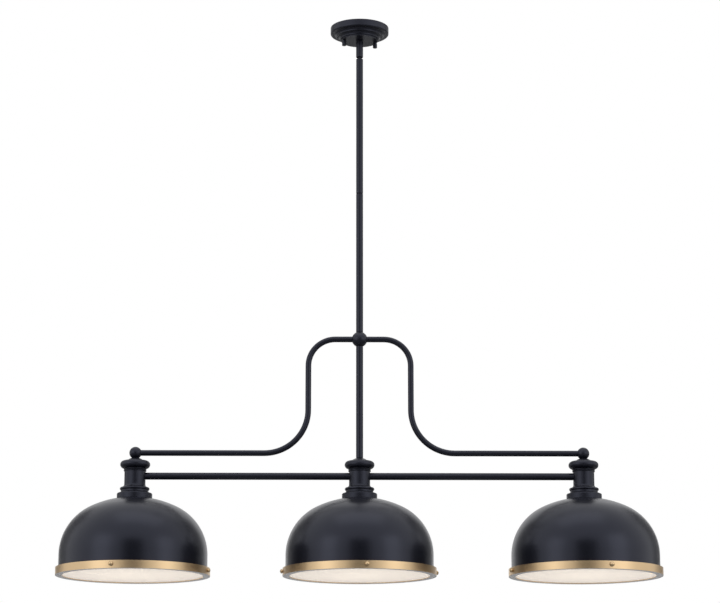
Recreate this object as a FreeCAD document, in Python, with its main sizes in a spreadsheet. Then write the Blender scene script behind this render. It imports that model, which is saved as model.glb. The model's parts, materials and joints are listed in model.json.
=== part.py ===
import FreeCAD, Part
import Sketcher
import math
import os

# Linear island pendant: three dome shades with brass bezels hang from one slim bar, under a
# long stem with two scroll arms, a hang-straight swivel and a round stepped canopy.
# The frame: the ceiling is the plane z = 0, the stem is the upright axis, the bar lies along X.

os.makedirs("parts", exist_ok=True)
doc = FreeCAD.newDocument("island_pendant")
sheet = doc.addObject("Spreadsheet::Sheet", "sizes")

DRIVING_SIZES = (
    # clearances
    ("joint_gap", 0.3, "between pieces that move on each other, and under seated pieces"),
    ("thread_clearance", 0.1, "radial room of a screwed piece in its tapped hole"),
    ("running_fit", 0.08, "radial room of a pin or shaft that turns in its hole"),
    # threaded fittings that every lamp part hangs on
    ("thread_radius", 4.9, "hollow nipples"),
    ("nipple_bore", 3.3, "way for the leads through a nipple"),
    ("nipple_length", 31.0, "nipples above and below each neck"),
    ("rod_nipple_length", 20.0, "nipples between the rods and the hub"),
    # mounting strap over the outlet box
    ("strap_length", 108.0, "along X"),
    ("strap_width", 26.0, "along Y"),
    ("strap_thickness", 2.4, "steel strip"),
    ("box_hole_spacing", 88.9, "slots for the outlet box screws"),
    ("slot_width", 4.8, "slot for a number 8 screw"),
    ("slot_length", 8.8, "over its round ends"),
    ("stud_spacing", 69.85, "canopy studs"),
    ("stud_turn", 12.6, "degrees, the pair of studs about the upright axis"),
    ("stud_radius", 2.05, "number 8 thread"),
    ("stud_nut_radius", 4.6, "over the corners"),
    ("stud_nut_height", 3.2, "hex nut"),
    ("ground_screw_offset", 19.0, "from the middle of the strap"),
    ("ground_screw_radius", 2.0, "thread"),
    ("ground_head_radius", 4.2, "hex washer head"),
    ("ground_head_height", 2.6, "hex washer head"),
    # canopy
    ("canopy_radius", 64.0, "rim"),
    ("canopy_depth", 29.4, "ceiling to the flat face"),
    ("canopy_wall", 1.2, "spun steel"),
    ("canopy_rim_round", 2.4, "lower edge of the rim"),
    ("canopy_cove", 5.8, "radius of each of the two coves"),
    ("canopy_ledge", 2.2, "flat ring between the coves"),
    ("canopy_lip_height", 2.9, "upright step round the flat face"),
    ("canopy_disc_radius", 40.3, "flat face"),
    ("knob_radius", 4.7, "canopy knob"),
    ("knob_length", 12.7, "canopy knob"),
    ("knob_neck_height", 3.4, "canopy knob above its grip"),
    ("knob_chamfer", 0.6, "edges of the grip"),
    ("knob_stud_depth", 8.6, "stud inside the knob"),
    # swivel
    ("locknut_radius", 9.2, "over the corners, inside the canopy"),
    ("locknut_height", 4.5, "inside the canopy"),
    ("locknut_standout", 3.0, "nipple above the lock nut"),
    ("seat_washer_radius", 7.0, "under the canopy"),
    ("seat_washer_thickness", 1.5, "under the canopy"),
    ("barrel_radius", 7.7, "swivel barrel"),
    ("barrel_length", 35.8, "swivel barrel"),
    ("barrel_wall", 1.2, "swivel barrel"),
    ("barrel_top_wall", 3.0, "rides on the retainer"),
    ("barrel_flare", 0.6, "widening of the mouth"),
    ("barrel_flare_height", 1.8, "widening of the mouth"),
    ("barrel_foot_taper", 0.25, "outside of the mouth"),
    ("retainer_height", 3.0, "round nut inside the barrel"),
    ("pivot_height", 8.2, "tilt axis above the foot of the barrel"),
    ("pivot_radius", 1.5, "pivot pins"),
    ("pivot_depth", 2.2, "pin inside the eye"),
    ("eye_radius", 5.6, "round head of the swivel eye"),
    ("eye_trim", 4.2, "flat top of the eye above the tilt axis"),
    ("eye_bore", 2.5, "way for the lead"),
    ("eye_neck_radius", 3.5, "between barrel and stem"),
    ("eye_thread_length", 11.0, "eye inside the stem"),
    ("swivel_gap", 3.8, "barrel to stem"),
    # stem, hub and arms
    ("stem_radius", 7.5, "rods of the stem"),
    ("stem_wall", 1.2, "rods of the stem"),
    ("stem_chamfer", 1.0, "ends of the rods"),
    ("rod_plug_length", 12.0, "tapped end of each rod"),
    ("rod_length", 308.4, "each of the two upper rods"),
    ("lower_rod_length", 242.5, "hub to the middle cap"),
    ("hub_radius", 16.7, "ball hub"),
    ("hub_seat", 14.8, "flats of the ball hub"),
    ("arm_radius", 6.2, "scroll arms"),
    ("arm_wall", 1.1, "scroll arms"),
    ("arm_reach", 109.2, "upright run of an arm from the stem"),
    ("arm_shoulder", 57.4, "upper bend, on the middle of the tube"),
    ("arm_sweep", 92.8, "lower bend, on the middle of the tube"),
    ("arm_hub_depth", 6.6, "arm inside the hub"),
    ("end_ball_radius", 13.0, "ball over an end cap"),
    ("end_ball_seat", 11.0, "flat foot of the ball below its middle"),
    ("arm_ball_start", 5.9, "arm's end from the middle of the ball"),
    ("nipple_insert", 5.0, "nipple inside the ball or the lower rod"),
    # turned caps and necks
    ("shade_spacing", 473.8, "stem to an outer shade"),
    ("collar_radius", 15.5, "small dome on top of a cap"),
    ("collar_height", 3.8, "small dome on top of a cap"),
    ("collar_curve", 16.0, "radius of the small dome's side"),
    ("cap_radius", 31.6, "mushroom cap"),
    ("cap_height", 22.2, "with its collar"),
    ("cap_brow", 8.0, "upper round of the cap's edge"),
    ("cap_chin", 8.2, "lower round of the cap's edge"),
    ("neck_radius", 22.3, "straight part of a neck"),
    ("neck_height", 64.6, "cap to shade"),
    ("neck_wall", 3.0, "straight part of a neck"),
    ("neck_top_plate", 4.0, "tapped"),
    ("neck_foot_plate", 6.0, "tapped"),
    ("neck_bead", 3.3, "height of each of the two beads"),
    ("neck_cove", 7.4, "radius of the flare"),
    ("neck_straight_end", 33.4, "top of the neck to the start of the flare"),
    ("neck_ring_height", 5.4, "ring under the flare"),
    ("neck_ring_curve", 3.2, "round of the ring's edge"),
    ("neck_waist_radius", 29.0, "between ring and foot"),
    ("neck_waist_height", 4.0, "between ring and foot"),
    ("neck_foot_radius", 37.2, "foot on the shade"),
    ("neck_foot_round", 2.4, "upper edge of the foot"),
    ("neck_foot_edge", 11.9, "height of the foot, with its round"),
    # bars
    ("bar_radius", 7.5, "slim bar between the necks"),
    ("bar_wall", 1.2, "slim bar"),
    ("bar_drop", 16.2, "top of the neck to the middle of the bar"),
    ("bar_insert", 2.8, "bar inside the neck's wall"),
    # shades
    ("shade_radius", 155.2, "skirt of the dome"),
    ("shade_wall", 1.0, "spun steel"),
    ("shade_crown", 209.6, "radius of the dome's crown"),
    ("shade_shoulder", 112.0, "radius of the dome's shoulder"),
    ("shade_land", 36.5, "flat top of the dome"),
    ("shade_depth", 160.4, "dome from its flat top to its edge"),
    ("shade_hole_radius", 5.2, "for the nipple"),
    ("shade_nut_radius", 10.2, "over the corners, inside the shade"),
    ("shade_nut_height", 4.0, "inside the shade"),
    # brass bezel, diffuser and thumb screws
    ("bezel_standoff", 6.05, "brass band outside the skirt"),
    ("bezel_height", 16.0, "brass band"),
    ("bezel_wall", 1.3, "brass band"),
    ("bezel_lip", 14.3, "ledge under the diffuser"),
    ("bezel_lip_thickness", 1.4, "ledge under the diffuser"),
    ("diffuser_thickness", 3.6, "frosted glass"),
    ("diffuser_clearance", 0.8, "radial, inside the skirt"),
    ("screw_height", 8.9, "thumb screws above the foot of the band"),
    ("screw_radius", 1.6, "thread"),
    ("screw_head_radius", 4.6, "round head"),
    ("screw_head_length", 5.5, "round head"),
    ("screw_head_dome", 5.2, "round of the head's end"),
    ("screw_collar_radius", 3.4, "under the head"),
    ("screw_collar_length", 1.2, "under the head"),
    ("clocking_left", -11.0, "degrees, front thumb screw of the left shade"),
    ("clocking_centre", 5.0, "degrees, front thumb screw of the middle shade"),
    ("clocking_right", 13.0, "degrees, front thumb screw of the right shade"),
    # lampholder and bulb
    ("holder_radius", 19.5, "lampholder"),
    ("holder_height", 44.0, "lampholder"),
    ("holder_boss_radius", 13.5, "top of the lampholder"),
    ("holder_boss_height", 7.0, "top of the lampholder"),
    ("holder_shoulder", 7.0, "cone from the boss to the full width"),
    ("holder_thread_depth", 14.0, "tapped top of the lampholder"),
    ("holder_floor", 3.4, "between its thread and its socket"),
    ("holder_bore", 13.7, "socket"),
    ("bulb_base_radius", 13.0, "screw base"),
    ("bulb_base_length", 27.0, "screw base"),
    ("bulb_tip_radius", 4.5, "centre contact"),
    ("bulb_tip_height", 2.2, "centre contact"),
    ("bulb_tip_cone", 2.2, "from the contact to the threads"),
    ("bulb_glass_radius", 30.0, "round of the bulb"),
    ("bulb_length", 112.0, "contact to the end of the glass"),
    ("bulb_waist_radius", 14.4, "glass at the screw base"),
    ("bulb_flare", 46.0, "hollow curve from the waist to the round"),
    ("bulb_flare_radius", 26.2, "glass where the hollow curve meets the round"),
    # leads
    ("stem_lead_radius", 2.2, "sheathed lead in the stem"),
    ("branch_lead_radius", 1.7, "leads in the bars"),
    ("branch_lead_bend", 13.0, "on the middle of the lead"),
    ("canopy_lead_radius", 1.2, "leads in the canopy"),
    ("canopy_lead_offset", 1.9, "leads beside the upright axis in the nipple"),
    ("canopy_lead_bend", 6.0, "on the middle of the lead"),
    ("canopy_lead_drop", 12.0, "ceiling to the leads that lie in the canopy"),
    ("connector_distance", 26.0, "wire connector from the upright axis"),
    ("connector_length", 19.0, "wire connector"),
    ("connector_mouth_radius", 5.4, "wire connector"),
    ("connector_tip_radius", 3.2, "wire connector"),
    ("splice_radius", 6.5, "splice in the middle neck"),
    ("splice_length", 16.0, "splice in the middle neck"),
)

for row, (alias, value, note) in enumerate(DRIVING_SIZES, start=1):
    sheet.set("A%d" % row, alias)
    sheet.set("B%d" % row, str(value))
    sheet.set("C%d" % row, note)
    sheet.setAlias("B%d" % row, alias)
doc.recompute()


class Size:
    """A size with its value and the sheet formula that gives it."""

    def __init__(self, value, formula):
        self.value = value
        self.formula = formula

    def __add__(self, other):
        other = as_size(other)
        return Size(self.value + other.value, "(%s + %s)" % (self.formula, other.formula))

    def __sub__(self, other):
        other = as_size(other)
        return Size(self.value - other.value, "(%s - %s)" % (self.formula, other.formula))

    def __mul__(self, other):
        other = as_size(other)
        return Size(self.value * other.value, "(%s * %s)" % (self.formula, other.formula))

    def __truediv__(self, other):
        other = as_size(other)
        return Size(self.value / other.value, "(%s / %s)" % (self.formula, other.formula))

    def __neg__(self):
        return Size(-self.value, "(0 - %s)" % self.formula)


def as_size(item):
    if isinstance(item, Size):
        return item
    return Size(float(item), repr(float(item)))


def root(item):
    return Size(math.sqrt(item.value), "sqrt(%s)" % item.formula)


def cosine(angle):
    return Size(math.cos(math.radians(angle.value)), "cos(%s * 1 deg)" % angle.formula)


def sine(angle):
    return Size(math.sin(math.radians(angle.value)), "sin(%s * 1 deg)" % angle.formula)


def bind(item, path, size):
    """Tie one property of an object to the sheet."""
    item.setExpression(path, as_size(size).formula)


def place(item, spot, turn=None):
    """Put an object at three sizes, with an optional fixed rotation."""
    values = [as_size(size) for size in spot]
    rotation = turn or FreeCAD.Rotation()
    item.Placement = FreeCAD.Placement(FreeCAD.Vector(*[size.value for size in values]), rotation)
    for axis, size in zip("xyz", values):
        bind(item, "Placement.Base." + axis, size)


s = {alias: Size(float(value), "sizes." + alias) for alias, value, note in DRIVING_SIZES}
ORIGIN = (0, 0, 0)
ALONG_X = FreeCAD.Rotation(FreeCAD.Vector(0, 1, 0), 90)
ALONG_Y = FreeCAD.Rotation(FreeCAD.Vector(1, 0, 0), -90)
HALF_TURN = FreeCAD.Rotation(FreeCAD.Vector(0, 0, 1), 180)
LEFT, RIGHT = 1, -1     # side of an arc's centre, looking along the outline
parts = {}


def keep(name, item):
    """Name the finished sub-part."""
    item.Label = name
    parts[name] = item
    return item


def plane(body, role):
    return [datum for datum in body.Origin.OriginFeatures if datum.Role == role][0]


def new_sketch(body, name, role):
    sketch = body.newObject("Sketcher::SketchObject", name)
    sketch.AttachmentSupport = [(plane(body, role), "")]
    sketch.MapMode = "FlatFace"
    return sketch


def arc_between(start, end, radius, side):
    """The arc of at most a half circle from start to end; True when it is stored end first."""
    chord = end - start
    half = chord.Length / 2
    normal = FreeCAD.Vector(-chord.y, chord.x, 0).normalize()
    lift = math.sqrt(max(radius * radius - half * half, 0.0))
    centre = (start + end) * 0.5 + normal * (lift * side)
    first, last = (start, end) if side == LEFT else (end, start)
    angles = [math.atan2(tip.y - centre.y, tip.x - centre.x) for tip in (first, last)]
    circle = Part.Circle(centre, FreeCAD.Vector(0, 0, 1), radius)
    return Part.ArcOfCircle(circle, angles[0], angles[1]), side == RIGHT


def draw(sketch, corners, closed=True):
    """Draw an outline. A corner is (u, v), or (u, v, radius, side) where an arc leads to it."""
    spots = [[as_size(size) for size in corner[:2]] for corner in corners]
    points = [FreeCAD.Vector(u.value, v.value, 0) for u, v in spots]
    ends = []
    rules = []
    formulas = []

    def measure(kind, where, size):
        if size.formula.startswith("sizes") or "(" in size.formula:
            formulas.append((len(rules), size.formula))
        rules.append(Sketcher.Constraint(kind, *where, size.value))

    first_index = sketch.GeometryCount
    steps = range(0 if closed else 1, len(corners))
    for step in steps:
        start, end = points[step - 1], points[step]
        index = sketch.GeometryCount
        if len(corners[step]) == 2:
            sketch.addGeometry(Part.LineSegment(start, end), False)
            ends.append(((index, 1), (index, 2)))
            continue
        radius, side = corners[step][2:]
        radius = as_size(radius)
        curve, backwards = arc_between(start, end, radius.value, side)
        sketch.addGeometry(curve, False)
        ends.append(((index, 2), (index, 1)) if backwards else ((index, 1), (index, 2)))
        measure("Radius", (index,), radius)
    for before, after in zip(ends, ends[1:] + (ends[:1] if closed else [])):
        rules.append(Sketcher.Constraint("Coincident", *before[1], *after[0]))
    tips = [end[1] for end in ends]
    owners = list(zip(steps, tips))
    if not closed:
        owners.insert(0, (0, ends[0][0]))
    for step, tip in owners:
        for kind, axis, size in zip(("DistanceX", "DistanceY"), (-2, -1), spots[step]):
            if size.value == 0.0:
                rules.append(Sketcher.Constraint("PointOnObject", *tip, axis))
            else:
                measure(kind, (-1, 1) + tip, size)
    base = sketch.ConstraintCount
    sketch.addConstraint(rules)
    for offset, formula in formulas:
        sketch.setExpression("Constraints[%d]" % (base + offset), formula)
    return first_index


def circle_at(sketch, spot, radius):
    """Draw a circle whose middle and radius follow the sheet."""
    u, v = [as_size(size) for size in spot]
    radius = as_size(radius)
    index = sketch.GeometryCount
    middle = FreeCAD.Vector(u.value, v.value, 0)
    sketch.addGeometry(Part.Circle(middle, FreeCAD.Vector(0, 0, 1), radius.value), False)
    for kind, axis, size in (("DistanceX", -2, u), ("DistanceY", -1, v)):
        if size.value == 0.0:
            sketch.addConstraint(Sketcher.Constraint("PointOnObject", index, 3, axis))
        else:
            rule = sketch.addConstraint(Sketcher.Constraint(kind, -1, 1, index, 3, size.value))
            sketch.setExpression("Constraints[%d]" % rule, size.formula)
    rule = sketch.addConstraint(Sketcher.Constraint("Radius", index, radius.value))
    sketch.setExpression("Constraints[%d]" % rule, radius.formula)


def lathe(name, outline, spot=ORIGIN, turn=None):
    """A turned piece: an outline of (radius, height) spun about the piece's own upright axis."""
    body = doc.addObject("PartDesign::Body", name)
    sketch = new_sketch(body, name + "_outline", "XZ_Plane")
    draw(sketch, outline)
    spin = body.newObject("PartDesign::Revolution", name + "_spin")
    spin.Profile = sketch
    spin.ReferenceAxis = (sketch, ["V_Axis"])
    spin.Angle = 360
    place(body, spot, turn)
    return body


def bent_tube(name, route, radius, wall=None, role="XZ_Plane", spot=ORIGIN, turn=None):
    """A round tube or wire pushed along a flat route of straight runs and tangent arcs.

    The route starts on the plane's second axis, along which the round profile faces."""
    body = doc.addObject("PartDesign::Body", name)
    line = new_sketch(body, name + "_route", role)
    draw(line, route, closed=False)
    start = [as_size(size) for size in route[0][:2]]
    profile = new_sketch(body, name + "_section", "YZ_Plane" if role == "XZ_Plane" else "XZ_Plane")
    across = start[0]
    circle_at(profile, (0, start[1]), radius)
    if wall:
        circle_at(profile, (0, start[1]), radius - wall)
    normal = FreeCAD.Vector(0, 0, 1)
    profile.AttachmentOffset = FreeCAD.Placement(normal * across.value, FreeCAD.Rotation())
    bind(profile, "AttachmentOffset.Base.z", across)
    pipe = body.newObject("PartDesign::AdditivePipe", name + "_pipe")
    pipe.Profile = profile
    pipe.Spine = (line, ["Edge%d" % (number + 1) for number in range(line.GeometryCount)])
    place(body, spot, turn)
    return body


def upright_tube(name, radius, bore, bottom, top, spot=ORIGIN, turn=None):
    return lathe(name, [(bore, bottom), (radius, bottom), (radius, top), (bore, top)], spot, turn)


def rod(name, radius, length, spot=ORIGIN, turn=None):
    """A rod of the stem: thin tube with tapped plugs in both ends, standing on its foot."""
    tapped = s["thread_radius"] + s["thread_clearance"]
    bore = s["stem_radius"] - s["stem_wall"]
    plug = s["rod_plug_length"]
    bevel = s["stem_chamfer"]
    return lathe(name, [
        (tapped, 0), (radius - bevel, 0), (radius, bevel), (radius, length - bevel),
        (radius - bevel, length), (tapped, length), (tapped, length - plug),
        (bore, length - plug), (bore, plug), (tapped, plug)], spot, turn)


def hex_nut(name, corner_radius, height, bore, spot):
    """A hex nut that stands on its spot."""
    blank = doc.addObject("Part::Prism", name + "_blank")
    blank.Polygon = 6
    bind(blank, "Circumradius", corner_radius)
    bind(blank, "Height", height)
    place(blank, spot)
    hole = drill(name + "_hole", bore, height, spot)
    return cut(name, blank, hole)


def drill(name, radius, length, spot, turn=None):
    """A round tool that starts at its spot and runs along its turned upright axis."""
    tool = doc.addObject("Part::Cylinder", name)
    bind(tool, "Radius", radius)
    bind(tool, "Height", length)
    place(tool, spot, turn)
    return tool


def cut(name, base, *tools):
    result = base
    for number, tool in enumerate(tools, start=1):
        step = doc.addObject("Part::Cut", "%s_cut_%d" % (name, number))
        step.Base = result
        step.Tool = tool
        result = step
    return result


def group(name, items):
    """Identical or matching pieces kept as separate solids under one name."""
    bundle = doc.addObject("Part::Compound", name)
    bundle.Links = items
    return bundle


def bead(radius, top, height):
    """Corners of a half-round bead that stands out from a turned face, drawn downwards."""
    half = height / 2
    top = as_size(top)
    return [(radius + half, top - half, half, RIGHT), (radius, top - height, half, RIGHT)]


# ---------------------------------------------------------------- levels, from the ceiling down
canopy_face = -s["canopy_depth"]
washer_face = canopy_face - s["seat_washer_thickness"]
barrel_top = washer_face - s["joint_gap"]
barrel_foot = barrel_top - s["barrel_length"]
tilt_level = barrel_foot + s["pivot_height"]
stem_top = barrel_foot - s["swivel_gap"]
rod_joint = stem_top - s["rod_length"]
hub_top = rod_joint - s["rod_length"]
hub_level = hub_top - s["hub_seat"]
hub_foot = hub_level - s["hub_seat"]
cap_top = hub_foot - s["lower_rod_length"]
neck_top = cap_top - s["cap_height"]
bar_level = neck_top - s["bar_drop"]
shade_top = neck_top - s["neck_height"]
shade_inside = shade_top - s["shade_wall"]
shade_edge = shade_top - s["shade_depth"]
bezel_foot = shade_edge - s["joint_gap"] - s["bezel_lip_thickness"]
end_ball_level = cap_top + s["end_ball_seat"]
holder_top = shade_inside - s["shade_nut_height"] - s["joint_gap"]
holder_foot = holder_top - s["holder_height"]
bulb_top = holder_top - s["holder_thread_depth"] - s["holder_floor"] - s["joint_gap"]

tapped_radius = s["thread_radius"] + s["thread_clearance"]
SIDES = (("left", -1), ("centre", 0), ("right", 1))
shade_places = {side: s["shade_spacing"] * step if step else 0 for side, step in SIDES}


# ---------------------------------------------------------------- mounting strap and its studs
def slot_outline(middle):
    """A slot along X round a middle point, with each round end as two quarter circles."""
    half_width = s["slot_width"] / 2
    reach = s["slot_length"] / 2 - half_width
    near = middle - reach
    far = middle + reach
    return [
        (near, -half_width, half_width, LEFT), (far, -half_width),
        (far + half_width, 0, half_width, LEFT), (far, half_width, half_width, LEFT),
        (near, half_width), (near - half_width, 0, half_width, LEFT)]


def stud_spot(step, level):
    """Where a stud's axis meets a level."""
    reach = s["stud_spacing"] / 2 * step
    return (reach * cosine(s["stud_turn"]), reach * sine(s["stud_turn"]), level)


def make_strap():
    body = doc.addObject("PartDesign::Body", "mounting_strap")
    sketch = new_sketch(body, "strap_outline", "XY_Plane")
    half_length = s["strap_length"] / 2
    half_width = s["strap_width"] / 2
    draw(sketch, [(-half_length, -half_width), (half_length, -half_width),
                  (half_length, half_width), (-half_length, half_width)])
    for side in (-1, 1):
        draw(sketch, slot_outline(s["box_hole_spacing"] / 2 * side))
        circle_at(sketch, stud_spot(side, 0)[:2], s["stud_radius"] + s["running_fit"])
    circle_at(sketch, (s["ground_screw_offset"], 0), s["ground_screw_radius"] + s["running_fit"])
    circle_at(sketch, ORIGIN[:2], tapped_radius)
    pad = body.newObject("PartDesign::Pad", "strap_pad")
    pad.Profile = sketch
    bind(pad, "Length", s["strap_thickness"])
    place(body, (0, 0, -s["strap_thickness"]))
    keep("mounting_strap", body)


def make_studs():
    studs = []
    nuts = []
    length = s["canopy_depth"] + s["knob_stud_depth"]
    for side, step in (("left", -1), ("right", 1)):
        studs.append(drill("canopy_stud_" + side, s["stud_radius"], length, stud_spot(step, -length)))
        spot = stud_spot(step, -s["strap_thickness"] - s["stud_nut_height"])
        bore = s["stud_radius"] + s["running_fit"]
        nuts.append(hex_nut("stud_nut_" + side, s["stud_nut_radius"], s["stud_nut_height"], bore, spot))
    keep("canopy_studs", group("canopy_studs", studs))
    keep("stud_nuts", group("stud_nuts", nuts))


def make_ground_screw():
    head = s["ground_head_radius"]
    shank = s["ground_screw_radius"]
    under = -s["strap_thickness"]
    keep("ground_screw", lathe("ground_screw", [
        (0, under - s["ground_head_height"]), (head, under - s["ground_head_height"]),
        (head, under), (shank, under), (shank, 0), (0, 0)],
        (s["ground_screw_offset"], 0, 0)))


# ---------------------------------------------------------------- canopy and its two knobs
def make_canopy():
    """A spun cover: upright rim, two coves, a small step and a flat face with its holes."""
    wall = s["canopy_wall"]
    rim = s["canopy_radius"]
    round_edge = s["canopy_rim_round"]
    cove = s["canopy_cove"]
    disc = s["canopy_disc_radius"]
    face = canopy_face
    step = face + s["canopy_lip_height"]
    first_cove = disc + s["canopy_ledge"]
    second_cove = first_cove + cove + s["canopy_ledge"]
    shelf = step + cove
    rim_foot = shelf + cove
    outline = [
        (rim - wall, 0), (rim, 0), (rim, rim_foot + round_edge),
        (rim - round_edge, rim_foot, round_edge, RIGHT),
        (second_cove + cove, rim_foot),
        (second_cove, shelf, cove, LEFT),
        (first_cove + cove, shelf),
        (first_cove, step, cove, LEFT),
        (disc, step), (disc, face), (tapped_radius, face), (tapped_radius, face + wall),
        (disc - wall, face + wall), (disc - wall, step + wall), (first_cove - wall, step + wall),
        (first_cove + cove - wall, shelf + wall, cove, RIGHT),
        (second_cove - wall, shelf + wall),
        (second_cove + cove - wall, rim_foot + wall, cove, RIGHT),
        (rim - round_edge, rim_foot + wall),
        (rim - wall, rim_foot + round_edge, round_edge - wall, LEFT)]
    canopy = lathe("canopy_spinning", outline)
    holes = []
    for side, sign in (("left", -1), ("right", 1)):
        spot = stud_spot(sign, canopy_face - s["joint_gap"])
        radius = s["stud_radius"] + s["joint_gap"]
        holes.append(drill("canopy_hole_" + side, radius, s["canopy_wall"] * 2, spot))
    keep("canopy", cut("canopy", canopy, *holes))


def make_knobs():
    bore = s["stud_radius"] + s["running_fit"]
    depth = s["knob_stud_depth"]
    bevel = s["knob_chamfer"]
    for side, step in (("left", -1), ("right", 1)):
        name = "canopy_knob_" + side
        keep(name, lathe(name, [
            (0, -s["knob_length"]), (s["knob_radius"] - bevel, -s["knob_length"]),
            (s["knob_radius"], bevel - s["knob_length"]),
            (s["knob_radius"], -s["knob_neck_height"] - bevel),
            (s["knob_radius"] - bevel, -s["knob_neck_height"]), (s["knob_radius"] - bevel, 0),
            (bore, 0), (bore, -depth), (0, -depth)],
            stud_spot(step, canopy_face - s["joint_gap"])))


# ---------------------------------------------------------------- swivel under the canopy
def make_swivel():
    locknut_foot = canopy_face + s["canopy_wall"]
    nipple_top = locknut_foot + s["locknut_height"] + s["locknut_standout"]
    retainer_top = barrel_top - s["barrel_top_wall"] - s["joint_gap"]
    retainer_foot = retainer_top - s["retainer_height"]
    thread = s["thread_radius"]
    keep("swivel_nipple", upright_tube(
        "swivel_nipple", thread, s["nipple_bore"], retainer_foot, nipple_top))
    keep("canopy_locknut", hex_nut(
        "canopy_locknut", s["locknut_radius"], s["locknut_height"], tapped_radius,
        (0, 0, locknut_foot)))
    keep("seat_washer", upright_tube(
        "seat_washer", s["seat_washer_radius"], tapped_radius, washer_face, canopy_face))
    bore = s["barrel_radius"] - s["barrel_wall"]
    keep("swivel_retainer", upright_tube(
        "swivel_retainer", bore - s["joint_gap"], tapped_radius, retainer_foot, retainer_top))
    bevel = s["stem_chamfer"]
    taper = s["barrel_foot_taper"]
    barrel = lathe("barrel_turning", [
        (bore, barrel_foot + s["barrel_flare_height"]), (bore + s["barrel_flare"], barrel_foot),
        (s["barrel_radius"] - taper, barrel_foot),
        (s["barrel_radius"], barrel_foot + bevel), (s["barrel_radius"], barrel_top),
        (thread + s["running_fit"], barrel_top),
        (thread + s["running_fit"], barrel_top - s["barrel_top_wall"]),
        (bore, barrel_top - s["barrel_top_wall"])])
    pins = []
    holes = []
    pin_start = s["eye_radius"] - s["pivot_depth"] + s["joint_gap"]
    pin_length = s["barrel_radius"] - pin_start
    eye_holes = []
    for side, sign in (("front", -1), ("back", 1)):
        turn = ALONG_Y if sign > 0 else ALONG_Y.inverted()
        spot = (0, pin_start * sign, tilt_level)
        pins.append(drill("pivot_pin_" + side, s["pivot_radius"], pin_length, spot, turn))
        holes.append(drill("barrel_hole_" + side, s["pivot_radius"], pin_length * 2, spot, turn))
        hole_start = (0, (s["eye_radius"] - s["pivot_depth"]) * sign, tilt_level)
        eye_holes.append(drill("eye_hole_" + side, s["pivot_radius"] + s["running_fit"],
                               s["eye_radius"], hole_start, turn))
    keep("swivel_barrel", cut("swivel_barrel", barrel, *holes))
    keep("pivot_pins", group("pivot_pins", pins))
    neck = s["eye_neck_radius"]
    ball = s["eye_radius"]
    trim = s["eye_trim"]
    neck_start = root(ball * ball - neck * neck)
    trim_radius = root(ball * ball - trim * trim)
    drop = tilt_level - stem_top
    eye = lathe("eye_turning", [
        (s["eye_bore"], trim), (s["eye_bore"], -drop - s["eye_thread_length"]),
        (thread, -drop - s["eye_thread_length"]), (thread, -drop), (neck, -drop),
        (neck, -neck_start), (trim_radius, trim, ball, LEFT)], (0, 0, tilt_level))
    keep("swivel_eye", cut("swivel_eye", eye, *eye_holes))


# ---------------------------------------------------------------- stem, hub and scroll arms
def make_stem():
    radius = s["stem_radius"]
    keep("upper_rod", rod("upper_rod", radius, s["rod_length"], (0, 0, rod_joint)))
    keep("middle_rod", rod("middle_rod", radius, s["rod_length"], (0, 0, hub_top)))
    keep("lower_rod", rod("lower_rod", radius, s["lower_rod_length"], (0, 0, cap_top)))
    half = s["rod_nipple_length"] / 2
    nipples = [
        upright_tube("rod_nipple_%d" % number, s["thread_radius"], s["nipple_bore"], -half, half,
                     (0, 0, level))
        for number, level in enumerate((rod_joint, hub_top, hub_foot), start=1)]
    keep("rod_nipples", group("rod_nipples", nipples))


def make_hub():
    ball = s["hub_radius"]
    seat = s["hub_seat"]
    flat = root(ball * ball - seat * seat)
    hub = lathe("hub_turning", [
        (tapped_radius, -seat), (flat, -seat), (flat, seat, ball, LEFT), (tapped_radius, seat)],
        (0, 0, hub_level))
    socket = drill("hub_socket", s["arm_radius"] + s["thread_clearance"], ball * 2,
                   (-ball, 0, hub_level), ALONG_X)
    keep("ball_hub", cut("ball_hub", hub, socket))


def make_arms():
    """Each arm leaves the hub level, turns down, runs upright and sweeps out to its end ball."""
    drop = hub_level - end_ball_level
    reach = s["arm_reach"]
    shoulder = s["arm_shoulder"]
    sweep = s["arm_sweep"]
    start = s["hub_radius"] - s["arm_hub_depth"]
    end = s["shade_spacing"] - s["arm_ball_start"]
    route = [
        (start, 0), (reach - shoulder, 0), (reach, -shoulder, shoulder, RIGHT),
        (reach, sweep - drop), (reach + sweep, -drop, sweep, LEFT), (end, -drop)]
    for side, turn in (("left", HALF_TURN), ("right", None)):
        name = "scroll_arm_" + side
        keep(name, bent_tube(name, route, s["arm_radius"], s["arm_wall"],
                             spot=(0, 0, hub_level), turn=turn))


def make_end_balls():
    ball = s["end_ball_radius"]
    seat = s["end_ball_seat"]
    flat = root(ball * ball - seat * seat)
    for side, step in (("left", -1), ("right", 1)):
        name = "end_ball_" + side
        x = shade_places[side]
        turned = lathe(name + "_turning", [
            (tapped_radius, -seat), (tapped_radius, s["nipple_insert"] - seat),
            (0, s["nipple_insert"] - seat), (0, ball), (flat, -seat, ball, RIGHT)],
            (x, 0, end_ball_level))
        socket_start = x - s["arm_ball_start"] * step
        turn = ALONG_X if step < 0 else ALONG_X.inverted()
        socket = drill(name + "_socket", s["arm_radius"] + s["thread_clearance"], ball,
                       (socket_start, 0, end_ball_level), turn)
        keep(name, cut(name, turned, socket))


# ---------------------------------------------------------------- turned caps, necks and bars
def cap_outline():
    collar = s["collar_radius"]
    shoulder = -s["collar_height"]
    brow = s["cap_brow"]
    chin = s["cap_chin"]
    rim = s["cap_radius"]
    foot = -s["cap_height"]
    waist = foot + chin
    stem = s["stem_radius"]
    return [
        (tapped_radius, 0), (stem, 0), (collar, shoulder, s["collar_curve"], RIGHT),
        (rim - brow, waist + brow), (rim, waist, brow, RIGHT), (rim - chin, foot, chin, RIGHT),
        (tapped_radius, foot)]


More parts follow.
